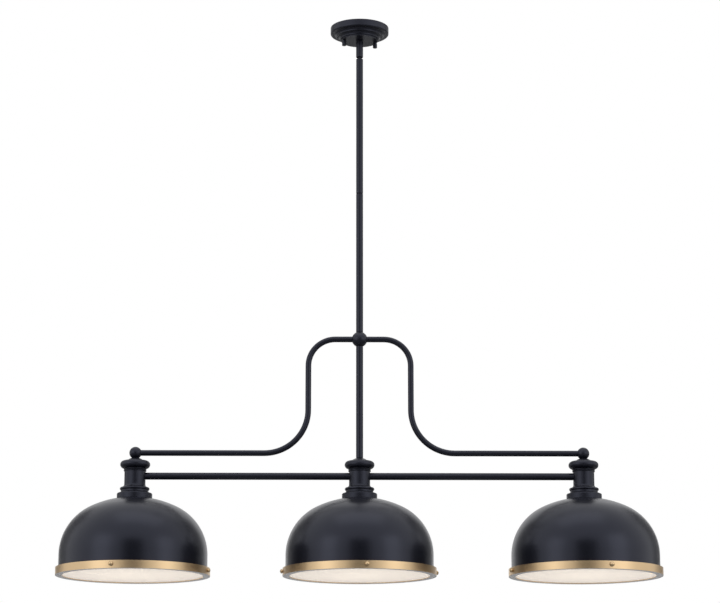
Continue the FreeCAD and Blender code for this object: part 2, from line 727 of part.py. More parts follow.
def neck_outline():
    radius = s["neck_radius"]
    bead_height = s["neck_bead"]
    cove = s["neck_cove"]
    straight = -s["neck_straight_end"]
    ring_top = straight - cove
    ring_foot = ring_top - s["neck_ring_height"]
    waist = s["neck_waist_radius"]
    waist_foot = ring_foot - s["neck_waist_height"]
    foot = s["neck_foot_radius"]
    floor = -s["neck_height"]
    edge_round = s["neck_foot_round"]
    edge_top = floor + s["neck_foot_edge"]
    cavity = radius - s["neck_wall"]
    return [
        (tapped_radius, 0), (radius, 0),
        *bead(radius, 0, bead_height), *bead(radius, -bead_height, bead_height),
        (radius, straight), (radius + cove, ring_top, cove, LEFT),
        (radius + cove, ring_foot, s["neck_ring_curve"], RIGHT),
        (waist, ring_foot), (waist, waist_foot), (foot - edge_round, edge_top),
        (foot, edge_top - edge_round, edge_round, RIGHT), (foot, floor),
        (tapped_radius, floor), (tapped_radius, floor + s["neck_foot_plate"]),
        (cavity, floor + s["neck_foot_plate"]), (cavity, -s["neck_top_plate"]),
        (tapped_radius, -s["neck_top_plate"])]


def make_neck(side, x):
    keep("cap_" + side, lathe("cap_" + side, cap_outline(), (x, 0, cap_top)))
    name = "neck_" + side
    turned = lathe(name + "_turning", neck_outline(), (x, 0, neck_top))
    radius = s["bar_radius"] + s["thread_clearance"]
    ways = {"left": (1,), "centre": (-1, 1), "right": (-1,)}[side]
    holes = [
        drill("%s_hole_%d" % (name, number), radius, s["neck_radius"] * 2, (x, 0, bar_level),
              ALONG_X if way > 0 else ALONG_X.inverted())
        for number, way in enumerate(ways, start=1)]
    keep(name, cut(name, turned, *holes))
    length = s["nipple_length"]
    upper = upright_tube("upper_nipple_" + side, s["thread_radius"], s["nipple_bore"],
                         -length, 0, (x, 0, cap_top + s["nipple_insert"]))
    lower_foot = holder_top - s["holder_thread_depth"]
    lower = upright_tube("lower_nipple_" + side, s["thread_radius"], s["nipple_bore"],
                         0, length, (x, 0, lower_foot))
    keep("nipples_" + side, group("nipples_" + side, [upper, lower]))


def make_bars():
    """Two tubes that end inside the walls of the necks they join."""
    bore = s["bar_radius"] - s["bar_wall"]
    start = s["neck_radius"] - s["bar_insert"]
    length = s["shade_spacing"] - start * 2
    for side, turn in (("left", ALONG_X.inverted()), ("right", ALONG_X)):
        name = "bar_" + side
        keep(name, upright_tube(name, s["bar_radius"], bore, start, start + length,
                                (0, 0, bar_level), turn))


# ---------------------------------------------------------------- shades and what they hold
def shade_outline():
    """Crown and shoulder arcs that meet tangent, over an upright skirt, as one thin wall."""
    wall = s["shade_wall"]
    crown = s["shade_crown"]
    shoulder = s["shade_shoulder"]
    skirt = s["shade_radius"]
    land = s["shade_land"]
    hole = s["shade_hole_radius"]
    crown_middle = -root(crown * crown - land * land)
    across = skirt - shoulder
    between = crown - shoulder
    up = root(between * between - across * across)
    shoulder_middle = crown_middle + up
    edge = -s["shade_depth"]

    def meeting(radius):
        return (across * radius / between, crown_middle + up * radius / between)

    inner_crown = crown - wall
    inner_rise = -crown_middle - wall
    inner_land = root(inner_crown * inner_crown - inner_rise * inner_rise)
    return [
        (hole, 0), (land, 0), (*meeting(crown), crown, RIGHT),
        (skirt, shoulder_middle, shoulder, RIGHT), (skirt, edge), (skirt - wall, edge),
        (skirt - wall, shoulder_middle),
        (*meeting(inner_crown), shoulder - wall, LEFT),
        (inner_land, -wall, inner_crown, LEFT), (hole, -wall)]


def make_shade(side, x):
    keep("shade_" + side, lathe("shade_" + side, shade_outline(), (x, 0, shade_top)))
    nut_foot = shade_inside - s["shade_nut_height"]
    keep("shade_nut_" + side, hex_nut(
        "shade_nut_" + side, s["shade_nut_radius"], s["shade_nut_height"], tapped_radius,
        (x, 0, nut_foot)))


def make_lampholder(side, x):
    depth = s["holder_thread_depth"]
    socket_top = -depth - s["holder_floor"]
    foot = -s["holder_height"]
    boss = -s["holder_boss_height"]
    name = "lampholder_" + side
    wire_way = s["branch_lead_radius"] + s["joint_gap"]
    keep(name, lathe(name, [
        (tapped_radius, 0), (s["holder_boss_radius"], 0), (s["holder_boss_radius"], boss),
        (s["holder_radius"], boss - s["holder_shoulder"]), (s["holder_radius"], foot),
        (s["holder_bore"], foot),
        (s["holder_bore"], socket_top), (wire_way, socket_top), (wire_way, -depth),
        (tapped_radius, -depth)],
        (x, 0, holder_top)))


def make_bulb(side, x):
    """A screw base under a hollow-sided glass that swells into a round."""
    glass = s["bulb_glass_radius"]
    middle = glass - s["bulb_length"]
    meet = s["bulb_flare_radius"]
    meet_height = middle + root(glass * glass - meet * meet)
    base_foot = -s["bulb_base_length"]
    tip = -s["bulb_tip_height"]
    name = "bulb_" + side
    keep(name, lathe(name, [
        (0, 0), (s["bulb_tip_radius"], 0), (s["bulb_tip_radius"], tip),
        (s["bulb_base_radius"], tip - s["bulb_tip_cone"]), (s["bulb_base_radius"], base_foot),
        (s["bulb_waist_radius"], base_foot),
        (meet, meet_height, s["bulb_flare"], LEFT),
        (glass, middle, glass, RIGHT), (0, -s["bulb_length"], glass, RIGHT)],
        (x, 0, bulb_top)))


# ---------------------------------------------------------------- bezel, diffuser, thumb screws
def make_bezel(side, x):
    """A channel of brass: band, top ledge that centres on the skirt, and the diffuser's ledge."""
    band = s["shade_radius"] + s["bezel_standoff"]
    wall = s["bezel_wall"]
    ledge = s["bezel_lip_thickness"]
    height = s["bezel_height"]
    inner = band - wall
    lip = band - s["bezel_lip"]
    collar = s["shade_radius"] + s["joint_gap"]
    name = "bezel_" + side
    ring = lathe(name + "_spinning", [
        (lip, 0), (band, 0), (band, height), (collar, height), (collar, height - wall),
        (inner, height - wall), (inner, ledge), (lip, ledge)], (x, 0, bezel_foot))
    level = bezel_foot + s["screw_height"]
    point = s["shade_radius"] + s["joint_gap"]
    holes = []
    screws = []
    head = s["screw_head_radius"]
    collar_end = s["screw_collar_length"]
    head_end = s["screw_head_length"]
    dome = s["screw_head_dome"]
    crest = dome - root(dome * dome - head * head)
    for number in range(4):
        angle = s["clocking_" + side] + (number * 90 - 90)
        turn = FreeCAD.Rotation(FreeCAD.Vector(0, 0, 1), angle.value) * ALONG_X
        spot = (point * cosine(angle) + x, point * sine(angle), level)
        out = band - point
        screws.append(lathe("%s_screw_%d" % (name, number + 1), [
            (0, 0), (s["screw_radius"], 0), (s["screw_radius"], out),
            (s["screw_collar_radius"], out), (s["screw_collar_radius"], out + collar_end),
            (head, out + collar_end), (head, out + head_end - crest),
            (0, out + head_end, dome, LEFT)], spot, turn))
        holes.append(drill("%s_hole_%d" % (name, number + 1),
                           s["screw_radius"] + s["thread_clearance"], out * 2, spot, turn))
    keep(name, cut(name, ring, *holes))
    keep("thumb_screws_" + side, group("thumb_screws_" + side, screws))


def make_diffuser(side, x):
    radius = s["shade_radius"] - s["shade_wall"] - s["diffuser_clearance"]
    keep("diffuser_" + side, drill(
        "diffuser_" + side, radius, s["diffuser_thickness"],
        (x, 0, bezel_foot + s["bezel_lip_thickness"])))


# ---------------------------------------------------------------- leads
def make_canopy_leads():
    """Three leads rise out of the nipple and turn flat: two to connectors, one to ground."""
    wire = s["canopy_lead_radius"]
    bend = s["canopy_lead_bend"]
    lie = -s["canopy_lead_drop"]
    foot = tilt_level + s["eye_radius"] + s["joint_gap"]
    offset = s["canopy_lead_offset"]
    leads = []
    connectors = []
    for name, sign in (("front", -1), ("back", 1)):
        end = s["connector_distance"] + s["connector_length"] / 2
        turn = FreeCAD.Rotation(FreeCAD.Vector(0, 0, 1), 90 * sign)
        route = [(end, lie), (offset + bend, lie), (offset, lie - bend, bend, LEFT), (offset, foot)]
        leads.append(bent_tube("canopy_lead_" + name, route, wire, turn=turn))
        mouth = s["connector_mouth_radius"]
        blind = s["connector_length"] / 2
        tip = s["connector_tip_radius"]
        length = s["connector_length"]
        bore = wire + s["thread_clearance"]
        connectors.append(lathe("connector_" + name, [
            (bore, 0), (mouth, 0), (tip, length), (0, length), (0, blind), (bore, blind)],
            (0, s["connector_distance"] * sign, lie),
            ALONG_Y if sign > 0 else ALONG_Y.inverted()))
    ground_end = s["ground_screw_offset"] - s["ground_head_radius"] - s["joint_gap"]
    ground_lie = -s["strap_thickness"] - s["ground_head_height"]
    route = [(ground_end, ground_lie), (offset + bend, ground_lie),
             (offset, ground_lie - bend, bend, LEFT), (offset, foot)]
    leads.append(bent_tube("ground_lead", route, wire))
    keep("canopy_leads", group("canopy_leads", leads))
    keep("wire_connectors", group("wire_connectors", connectors))


def make_stem_lead():
    """One sheathed lead from the swivel down the stem to the splice in the middle neck."""
    top = tilt_level + s["eye_trim"]
    splice_top = bar_level + s["splice_length"] / 2
    keep("stem_lead", drill("stem_lead", s["stem_lead_radius"], top - splice_top,
                            (0, 0, splice_top)))


def make_branch_leads():
    """From the splice through the bars and down to each lampholder."""
    wire = s["branch_lead_radius"]
    end = holder_top - s["holder_thread_depth"] - s["holder_floor"] - bar_level
    bend = s["branch_lead_bend"]
    far = s["shade_spacing"]
    start = s["splice_radius"]
    route = [(start, 0), (far - bend, 0), (far, -bend, bend, RIGHT), (far, end)]
    leads = [
        bent_tube("branch_lead_" + side, route, wire, spot=(0, 0, bar_level), turn=turn)
        for side, turn in (("left", HALF_TURN), ("right", None))]
    drop = -end - s["splice_length"] / 2
    leads.append(drill("branch_lead_centre", wire, drop, (0, 0, bar_level + end)))
    keep("branch_leads", group("branch_leads", leads))
    keep("lead_splice", drill("lead_splice", s["splice_radius"], s["splice_length"],
                              (0, 0, bar_level - s["splice_length"] / 2)))


make_strap()
make_studs()
make_ground_screw()
make_canopy()
make_knobs()
make_swivel()
make_stem()
make_hub()
make_arms()
make_end_balls()
make_bars()
for side, step in SIDES:
    place_x = shade_places[side]
    make_neck(side, place_x)
    make_shade(side, place_x)
    make_lampholder(side, place_x)
    make_bulb(side, place_x)
    make_bezel(side, place_x)
    make_diffuser(side, place_x)
make_canopy_leads()
make_stem_lead()
make_branch_leads()
doc.recompute()

# ---------------------------------------------------------------- checks, then one file a piece
failed = [item.Name for item in doc.Objects if {"Invalid", "Error"} & set(item.State)]
if failed:
    raise RuntimeError("objects that did not compute: " + ", ".join(failed))
for name, item in parts.items():
    if item.Shape.isNull() or not item.Shape.isValid() or not item.Shape.Solids:
        raise RuntimeError("no valid solid in " + name)
for name, item in parts.items():
    item.Shape.exportStep("parts/%s.step" % name)
print("%d nodes, %d solids" % (len(parts), sum(len(item.Shape.Solids) for item in parts.values())))
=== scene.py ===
# %% [markdown]
# # A long island pendant with three domed shades
# A dark satin fixture hangs from a small stepped canopy. Its stem carries a slim bar with three
# turned necks, and each neck holds a spun dome with a brass bezel and a lit frosted diffuser.
# Every rigid piece already exists as a CAD solid, so this lesson loads those solids, gives them
# their finishes, and adds the few pieces that need finer work than a solid gives.

# %% Load the solids
import bmesh
import bpy
import json
import math
from mathutils import Matrix, Vector


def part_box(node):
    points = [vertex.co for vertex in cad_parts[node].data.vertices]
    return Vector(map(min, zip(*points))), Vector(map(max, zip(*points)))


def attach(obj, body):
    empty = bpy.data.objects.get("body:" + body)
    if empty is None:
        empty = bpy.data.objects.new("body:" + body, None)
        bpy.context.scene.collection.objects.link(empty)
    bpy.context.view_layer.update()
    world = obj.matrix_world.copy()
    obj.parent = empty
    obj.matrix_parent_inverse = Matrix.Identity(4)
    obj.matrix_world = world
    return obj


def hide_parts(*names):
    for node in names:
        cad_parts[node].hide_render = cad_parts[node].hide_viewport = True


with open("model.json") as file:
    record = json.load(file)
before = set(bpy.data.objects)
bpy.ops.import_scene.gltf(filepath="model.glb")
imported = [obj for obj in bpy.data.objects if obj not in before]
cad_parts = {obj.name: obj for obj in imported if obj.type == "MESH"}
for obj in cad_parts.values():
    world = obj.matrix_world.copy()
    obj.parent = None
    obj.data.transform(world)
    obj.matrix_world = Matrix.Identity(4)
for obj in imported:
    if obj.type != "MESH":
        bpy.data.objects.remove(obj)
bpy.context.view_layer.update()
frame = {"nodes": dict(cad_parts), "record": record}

# %% [markdown]
# ## Sizes that the finishes and the added pieces share
# All lengths are in metres in the frame of the solids: the ceiling is z = 0, the stem is the
# upright axis and the bar lies along X. Reading the places off the solids themselves keeps every
# added piece in step with them, which is safer than typing the numbers twice.

# %% Places read off the solids
SIDES = ("left", "centre", "right")


def middle(node):
    low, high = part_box(node)
    return (low + high) / 2


shade_spacing = middle("neck_right").x
shade_low, shade_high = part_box("shade_centre")
print("shade spacing %.4f, shade from z %.4f to %.4f" % (shade_spacing, shade_low.z, shade_high.z))

# %% [markdown]
# ## A small kit for node trees
# Materials here are built from nodes in code. The same three steps come back each time: make a
# node, set its plain numbers, and link it. One helper for that keeps each finish readable, and a
# few more make a group, a finish, and the two ways of turning a mask into a value or a colour.

# %% Node helpers


def add_node(tree, kind, values=None, **settings):
    """Make a node, set its properties, and fill or link its inputs by name or number."""
    node = tree.nodes.new(kind)
    for key, value in settings.items():
        setattr(node, key, value)
    for socket, value in (values or {}).items():
        target = node.inputs[socket]
        if isinstance(value, bpy.types.NodeSocket):
            tree.links.new(value, target)
        else:
            target.default_value = value
    return node


def maths(tree, operation, *values):
    return add_node(tree, "ShaderNodeMath", dict(enumerate(values)), operation=operation).outputs[0]


def new_group(name, inputs, outputs):
    """An empty node group. Inputs are (name, value) pairs of plain numbers."""
    group = bpy.data.node_groups.new(name, "ShaderNodeTree")
    for label, value in inputs:
        socket = group.interface.new_socket(label, in_out="INPUT", socket_type="NodeSocketFloat")
        socket.default_value = value
    for label in outputs:
        group.interface.new_socket(label, in_out="OUTPUT", socket_type="NodeSocketFloat")
    return group, group.nodes.new("NodeGroupInput"), group.nodes.new("NodeGroupOutput")


def use_group(tree, group, **values):
    node = tree.nodes.new("ShaderNodeGroup")
    node.node_tree = group
    for label, value in values.items():
        node.inputs[label].default_value = value
    return node


def new_finish(name, colour, roughness, metallic=0.0):
    """A material with one Principled BSDF. Returns the material, its tree and the shader."""
    material = bpy.data.materials.new(name)
    material.use_nodes = True
    tree = material.node_tree
    shader = tree.nodes["Principled BSDF"]
    shader.inputs["Base Color"].default_value = (*colour, 1)
    shader.inputs["Roughness"].default_value = roughness
    shader.inputs["Metallic"].default_value = metallic
    return material, tree, shader


def between(tree, factor, low, high):
    """Turn a mask from 0 to 1 into a value from low to high."""
    return add_node(tree, "ShaderNodeMapRange", {
        "Value": factor, "To Min": low, "To Max": high}).outputs[0]


def mix_colour(tree, factor, first, second):
    node = add_node(tree, "ShaderNodeMix", {0: factor}, data_type="RGBA")
    for socket, value in ((6, first), (7, second)):
        if isinstance(value, bpy.types.NodeSocket):
            tree.links.new(value, node.inputs[socket])
        else:
            node.inputs[socket].default_value = (*value, 1)
    return node.outputs[2]


print("helpers for nodes, groups and finishes are ready")

# %% [markdown]
# ## Grain: the skin of powder coat and of castings
# Powder coat melts into a skin with a very fine orange peel, and cast pieces keep a coarser grain
# under it. A photograph of the real skin could be wrapped round each piece, but noise in object
# space has no seams and needs no unwrapping. It is used by several finishes, so it is a group.

# %% Grain group
PATCH_SCALE = 14.0
grain_group, grain_in, grain_out = new_group(
    "coat grain", [("Scale", 900.0), ("Softness", 0.5)], ["Height", "Patches"])
place = add_node(grain_group, "ShaderNodeTexCoord").outputs["Object"]
peel = add_node(grain_group, "ShaderNodeTexNoise", {
    "Vector": place, "Scale": grain_in.outputs["Scale"], "Roughness": grain_in.outputs["Softness"],
    "Detail": 2.0})
patches = add_node(grain_group, "ShaderNodeTexNoise", {
    "Vector": place, "Scale": PATCH_SCALE, "Detail": 3.0})
grain_group.links.new(peel.outputs[0], grain_out.inputs["Height"])
grain_group.links.new(patches.outputs[0], grain_out.inputs["Patches"])
print("group:", grain_group.name, "with", len(grain_group.nodes), "nodes")

# %% [markdown]
# ## Place round each shade's own axis
# Brushing on a spun ring runs round the ring, and a shade is white inside and dark outside. Both
# need to know where a point lies from the nearest shade's axis. The three shades stand one spacing
# apart, so taking whole spacings off x gives one rule for all three, without three copies of each
# material.

# %% Ring group
FACING_DOWN = -0.85
ring_group, ring_in, ring_out = new_group(
    "place round a shade", [("Lines", 2600.0)], ["Brushing", "Radius", "Inside", "Underside"])
coordinates = add_node(ring_group, "ShaderNodeTexCoord")
spot = add_node(ring_group, "ShaderNodeSeparateXYZ", {0: coordinates.outputs["Object"]})
facing = add_node(ring_group, "ShaderNodeSeparateXYZ", {0: coordinates.outputs["Normal"]})
steps = maths(ring_group, "ROUND", maths(ring_group, "DIVIDE", spot.outputs[0], shade_spacing))
local_x = maths(ring_group, "SUBTRACT", spot.outputs[0],
                maths(ring_group, "MULTIPLY", steps, shade_spacing))
local_y = spot.outputs[1]
radius = maths(ring_group, "SQRT", maths(
    ring_group, "ADD", maths(ring_group, "POWER", local_x, 2.0),
    maths(ring_group, "POWER", local_y, 2.0)))
height = maths(ring_group, "SUBTRACT", spot.outputs[2], shade_low.z)
profile_place = add_node(ring_group, "ShaderNodeCombineXYZ", {0: radius, 2: spot.outputs[2]})
brushing = add_node(ring_group, "ShaderNodeTexNoise", {
    "Vector": profile_place.outputs[0], "Scale": ring_in.outputs["Lines"], "Detail": 3.0})
outward = maths(ring_group, "ADD", maths(
    ring_group, "ADD", maths(ring_group, "MULTIPLY", local_x, facing.outputs[0]),
    maths(ring_group, "MULTIPLY", local_y, facing.outputs[1])),
    maths(ring_group, "MULTIPLY", height, facing.outputs[2]))
inside = maths(ring_group, "LESS_THAN", outward, 0.0)
ring_group.links.new(brushing.outputs[0], ring_out.inputs["Brushing"])
ring_group.links.new(radius, ring_out.inputs["Radius"])
ring_group.links.new(inside, ring_out.inputs["Inside"])
underside = maths(ring_group, "LESS_THAN", facing.outputs[2], FACING_DOWN)
ring_group.links.new(underside, ring_out.inputs["Underside"])
print("group:", ring_group.name, "with", len(ring_group.nodes), "nodes")

# %% [markdown]
# ## The dark satin coat
# The fixture is steel under a blue-black satin powder coat. It is a plain dielectric: a dark base
# colour with a soft highlight, not a metal. Tubes are smooth, the caps and necks are cast and show
# a little grain, and the spun shades are glossier outside and white inside. So one function makes
# the same coat three times, each with its own grain and gloss.

# %% Coat finishes
COAT_COLOUR = (0.0062, 0.0066, 0.0110)
COAT_SHEEN_TINT = (0.74, 0.78, 1.0)
INSIDE_WHITE = (0.80, 0.79, 0.76)
PATCH_CONTRAST = 0.04


def coat(name, grain_scale, bump_depth, roughness, white_inside=False):
    material, tree, shader = new_finish(name, COAT_COLOUR, roughness)
    shader.inputs["Specular Tint"].default_value = (*COAT_SHEEN_TINT, 1)
    grain = use_group(tree, grain_group, Scale=grain_scale)
    bump = add_node(tree, "ShaderNodeBump", {
        "Height": grain.outputs["Height"], "Distance": bump_depth, "Strength": 1.0})
    tree.links.new(bump.outputs[0], shader.inputs["Normal"])
    rough = between(tree, grain.outputs["Patches"], roughness - PATCH_CONTRAST,
                    roughness + PATCH_CONTRAST)
    tree.links.new(rough, shader.inputs["Roughness"])
    if white_inside:
        ring = use_group(tree, ring_group)
        colour = mix_colour(tree, ring.outputs["Inside"], COAT_COLOUR, INSIDE_WHITE)
        tree.links.new(colour, shader.inputs["Base Color"])
    return material


smooth_coat = coat("satin coat on tube", grain_scale=1400.0, bump_depth=0.000008, roughness=0.38)
cast_coat = coat("satin coat on castings", grain_scale=700.0, bump_depth=0.00004, roughness=0.40)
shade_coat = coat("satin coat on spun shades", grain_scale=1400.0, bump_depth=0.000008,
                  roughness=0.30, white_inside=True)
print("coats:", ", ".join(finish.name for finish in (smooth_coat, cast_coat, shade_coat)))

# %% [markdown]
# ## Brushed brass
# The bezels are brass, brushed while they turned, under a clear lacquer. Brushing could be real
# anisotropy, but a fine bump and a changing roughness that run round the ring show the lines from
# close by and also survive the export, so the lines come from the ring group. Faces of the brass
# that look down get a lower roughness and a greyer colour, both set by one mask by facing.

# %% Brass finish
BRASS_COLOUR = (0.65, 0.49, 0.30)
BRASS_IN_LINES = (0.61, 0.43, 0.243)
BRASS_BETWEEN_LINES = (0.72, 0.54, 0.33)
BRASS_UNDERSIDE = (0.66, 0.645, 0.655)
SMOOTHEST_BRUSHING, ROUGHEST_BRUSHING = 0.28, 0.42
UNDERSIDE_ROUGHNESS = 0.26
LINE_DEPTH = 0.00004
brass, tree, shader = new_finish("brushed brass", BRASS_COLOUR, roughness=0.36, metallic=1.0)
ring = use_group(tree, ring_group, Lines=2200.0)
bump = add_node(tree, "ShaderNodeBump", {
    "Height": ring.outputs["Brushing"], "Distance": LINE_DEPTH, "Strength": 1.0})
tree.links.new(bump.outputs[0], shader.inputs["Normal"])
band_roughness = between(
    tree, ring.outputs["Brushing"], SMOOTHEST_BRUSHING, ROUGHEST_BRUSHING)
tree.links.new(between(tree, ring.outputs["Underside"], band_roughness, UNDERSIDE_ROUGHNESS),
               shader.inputs["Roughness"])
band_colour = mix_colour(tree, ring.outputs["Brushing"], BRASS_IN_LINES, BRASS_BETWEEN_LINES)
tree.links.new(mix_colour(tree, ring.outputs["Underside"], band_colour, BRASS_UNDERSIDE),
               shader.inputs["Base Color"])
print("finish:", brass.name)

# %% [markdown]
# ## Glass that is lit from behind
# The diffuser is a frosted disc and the bulb behind it is on. Emission alone would look flat, and
# clear glass would show the bulb sharply, so the disc is rough glass that lets a part of the light
# through. Its own warm glow, strongest in the middle, stands for the light that scatters inside.

# %% Frosted glass and the bulb's finish
GLOW_AT_CENTRE = (1.0, 0.925, 0.85)
GLOW_AT_RIM = (0.78, 0.72, 0.67)
GLOW_FADE_START, GLOW_FADE_END = 0.03, 0.16
frosted, tree, shader = new_finish("frosted diffuser", (0.90, 0.87, 0.82), roughness=0.55)
shader.inputs["Transmission Weight"].default_value = 0.35
shader.inputs["IOR"].default_value = 1.45
ring = use_group(tree, ring_group)
across = add_node(tree, "ShaderNodeMapRange", {
    "Value": ring.outputs["Radius"], "From Min": GLOW_FADE_START,
    "From Max": GLOW_FADE_END}).outputs[0]
tree.links.new(mix_colour(tree, across, GLOW_AT_CENTRE, GLOW_AT_RIM),
               shader.inputs["Emission Color"])
shader.inputs["Emission Strength"].default_value = 0.36

bulb_glass, tree, shader = new_finish("lit bulb", (0.95, 0.92, 0.86), roughness=0.4)
shader.inputs["Emission Color"].default_value = (1.0, 0.86, 0.66, 1)
shader.inputs["Emission Strength"].default_value = 0.6
bulb_shell = new_finish(
    "bulb's screw shell", (0.66, 0.65, 0.62), roughness=0.30, metallic=1.0)[0]
bulb_insulator = new_finish(
    "bulb's black insulator", (0.012, 0.012, 0.012), roughness=0.22)[0]
print("finishes:", ", ".join(finish.name for finish in (frosted, bulb_glass, bulb_shell)))

# %% [markdown]
# ## The finishes of what is hidden
# The strap, nuts and nipples are zinc plated, the lampholders are glazed porcelain, and the leads
# and connectors are plastic. They show from above and when a bezel is lowered, so each gets its
# own plain finish. Zinc plate is never even, so there the grain group adds dull and bright patches.

# %% Hidden finishes
ZINC_DULL = (0.48, 0.48, 0.46)
ZINC_BRIGHT = (0.66, 0.65, 0.60)
SMOOTHEST_ZINC, ROUGHEST_ZINC = 0.28, 0.48
zinc, tree, shader = new_finish("zinc plate", (0.55, 0.55, 0.53), roughness=0.35, metallic=1.0)
grain = use_group(tree, grain_group, Scale=400.0)
tree.links.new(between(tree, grain.outputs["Patches"], SMOOTHEST_ZINC, ROUGHEST_ZINC),
               shader.inputs["Roughness"])
tree.links.new(mix_colour(tree, grain.outputs["Patches"], ZINC_DULL, ZINC_BRIGHT),
               shader.inputs["Base Color"])
green_zinc = new_finish(
    "green ground screw", (0.03, 0.22, 0.07), roughness=0.35, metallic=0.6)[0]
porcelain, tree, shader = new_finish("glazed porcelain", (0.82, 0.80, 0.74), roughness=0.18)
shader.inputs["Coat Weight"].default_value = 0.4
dark_pin = new_finish("blackened pin", (0.004, 0.004, 0.005), roughness=0.7)[0]
lead_sheath = new_finish("black lead sheath", (0.012, 0.012, 0.012), roughness=0.5)[0]
connector_plastic = new_finish(
    "orange connector plastic", (0.60, 0.20, 0.02), roughness=0.42)[0]
print("finishes so far:", len(bpy.data.materials))

# %% [markdown]
# ## Dressing the solids
# The record names a material slot for each solid, so a table from slot to finish dresses nearly
# all of them. A few pieces share a slot but not a skin: castings, spun shades and the swivel's
# pins, which are blackened. They are picked out by the names of their nodes.

# %% Give each solid its finish
FINISHES = {
    "black_coat": smooth_coat, "satin_brass": brass, "frosted_glass": frosted,
    "zinc_steel": zinc, "green_screw": green_zinc, "porcelain": porcelain,
    "bulb_glass": bulb_glass, "lead_sheath": lead_sheath, "connector_plastic": connector_plastic}
CAST_PIECES = ("cap_", "neck_", "ball_hub", "end_ball_")
for entry in frame["record"]["subparts"]:
    piece = frame["nodes"][entry["node"]]
    finish = FINISHES[entry["material_slot"]]
    if entry["node"].startswith(CAST_PIECES):
        finish = cast_coat
    if entry["node"] in ["shade_" + side for side in SIDES]:
        finish = shade_coat
    if entry["node"] == "pivot_pins":
        finish = dark_pin
    piece.data.materials.clear()
    piece.data.materials.append(finish)

# %% [markdown]
# ## Turning an outline into a skin
# A bulb, like most lamp fittings, is an outline turned about an axis. A Screw modifier could turn
# it, but a spin in bmesh leaves plain vertices, and then one rule can move each vertex in or out by
# its height and angle. That is how the bulb gets its thread and the connector its ribs.

# %% Turned skins


def arc_points(start, end, radius, side, count):
    """Points after start up to end on an arc. A side of 1 has the centre left of the way."""
    start, end = Vector(start), Vector(end)
    chord = end - start
    rise = math.sqrt(radius ** 2 - (chord.length / 2) ** 2)
    normal = Vector((-chord.y, chord.x)).normalized()
    centre = (start + end) / 2 + normal * rise * side
    first = start - centre
    sweep = first.angle_signed(end - centre)
    points = []
    for step in range(1, count + 1):
        spoke = first.copy()
        spoke.rotate(Matrix.Rotation(-sweep * step / count, 2))
        points.append(centre + spoke)
    return points


def turned_skin(name, outline, around, place, rule):
    """Spin an outline of (radius, height) points, which runs from axis to axis, into a skin."""
    bm = bmesh.new()
    points = [bm.verts.new((radius, 0, height)) for radius, height in outline]
    edges = [bm.edges.new(pair) for pair in zip(points, points[1:])]
    bmesh.ops.spin(bm, geom=points + edges, axis=(0, 0, 1), cent=(0, 0, 0),
                   angle=math.tau, steps=around, use_merge=True)
    bmesh.ops.remove_doubles(bm, verts=bm.verts, dist=1e-7)
    for vert in bm.verts:
        reach = vert.co.xy.length
        if reach > 0:
            vert.co.xy *= rule(reach, math.atan2(vert.co.y, vert.co.x), vert.co.z) / reach
    bmesh.ops.recalc_face_normals(bm, faces=bm.faces)
    mesh = bpy.data.meshes.new(name)
    for face in bm.faces:
        face.smooth = True
    bm.to_mesh(mesh)
    bm.free()
    mesh.transform(place)
    piece = bpy.data.objects.new(name, mesh)
    bpy.context.collection.objects.link(piece)
    return piece


print("helpers: arc_points and turned_skin")

# %% [markdown]
# ## The bulb's outline
# A bulb has a tip contact, a black insulator, a thin rolled screw shell and a frosted glass. From
# the side it is a chain of short lines for the metal and two arcs for the glass: one that flares
# out of the shell and one that is nearly a full round. The outline runs down from the contact.

# %% Outline of a bulb
THREAD_PITCH = 0.0036
THREAD_DEPTH = 0.0005
SHELL_RADIUS = 0.0130
SHELL_TOP = -0.0050
SHELL_FOOT = -0.0262
INSULATOR_TOP = -0.00225
INSULATOR_FOOT = -0.0045
BULB_LENGTH = 0.112
GLASS_RADIUS = 0.030
GLASS_MIDDLE = GLASS_RADIUS - BULB_LENGTH
GLASS_WAIST = (0.0144, -0.0275)
GLASS_FLARE = 0.046
MEET_RADIUS = 0.0262
GLASS_MEET = (MEET_RADIUS, GLASS_MIDDLE + math.sqrt(GLASS_RADIUS ** 2 - MEET_RADIUS ** 2))
THREAD_STEPS = 60
FLARE_STEPS = 14
ROUND_STEPS = 26
bulb_outline = [
    (0, 0), (0.0036, 0), (0.0044, -0.0004), (0.0045, -0.0022), (0.0050, -0.0023),
    (0.0104, -0.0044), (0.0112, -0.0046)]
for step in range(THREAD_STEPS + 1):
    bulb_outline.append((SHELL_RADIUS, SHELL_TOP + (SHELL_FOOT - SHELL_TOP) * step / THREAD_STEPS))
bulb_outline += [
    (SHELL_RADIUS, -0.0268), (0.0129, -0.0272), (0.0134, GLASS_WAIST[1]), GLASS_WAIST]
bulb_outline += arc_points(GLASS_WAIST, GLASS_MEET, GLASS_FLARE, 1, FLARE_STEPS)
bulb_outline += arc_points(GLASS_MEET, (0, -BULB_LENGTH), GLASS_RADIUS, -1, ROUND_STEPS)
print("points in the bulb's outline:", len(bulb_outline))

# %% [markdown]
# ## Three bulbs with a real thread
# The thread is a right-handed helix, not a stack of rings: the radius of the shell depends on the
# height and the angle together, so one rule for the radius winds it. Cutting a thread costs more.
# The height of a face then tells which of the three materials it is made of.

# %% Three bulbs
SHELL, INSULATOR, GLASS = range(3)
THREAD_MARGIN = 0.000001
GLASS_MARGIN = 0.0002
BULB_SEGMENTS = 64


def thread(reach, angle, level):
    if not SHELL_FOOT - THREAD_MARGIN < level < SHELL_TOP + THREAD_MARGIN:
        return reach
    return reach - THREAD_DEPTH * (1 + math.cos(math.tau * level / THREAD_PITCH - angle))


def bulb_material(level):
    if level < GLASS_WAIST[1] + GLASS_MARGIN:
        return GLASS
    if INSULATOR_FOOT < level < INSULATOR_TOP:
        return INSULATOR
    return SHELL


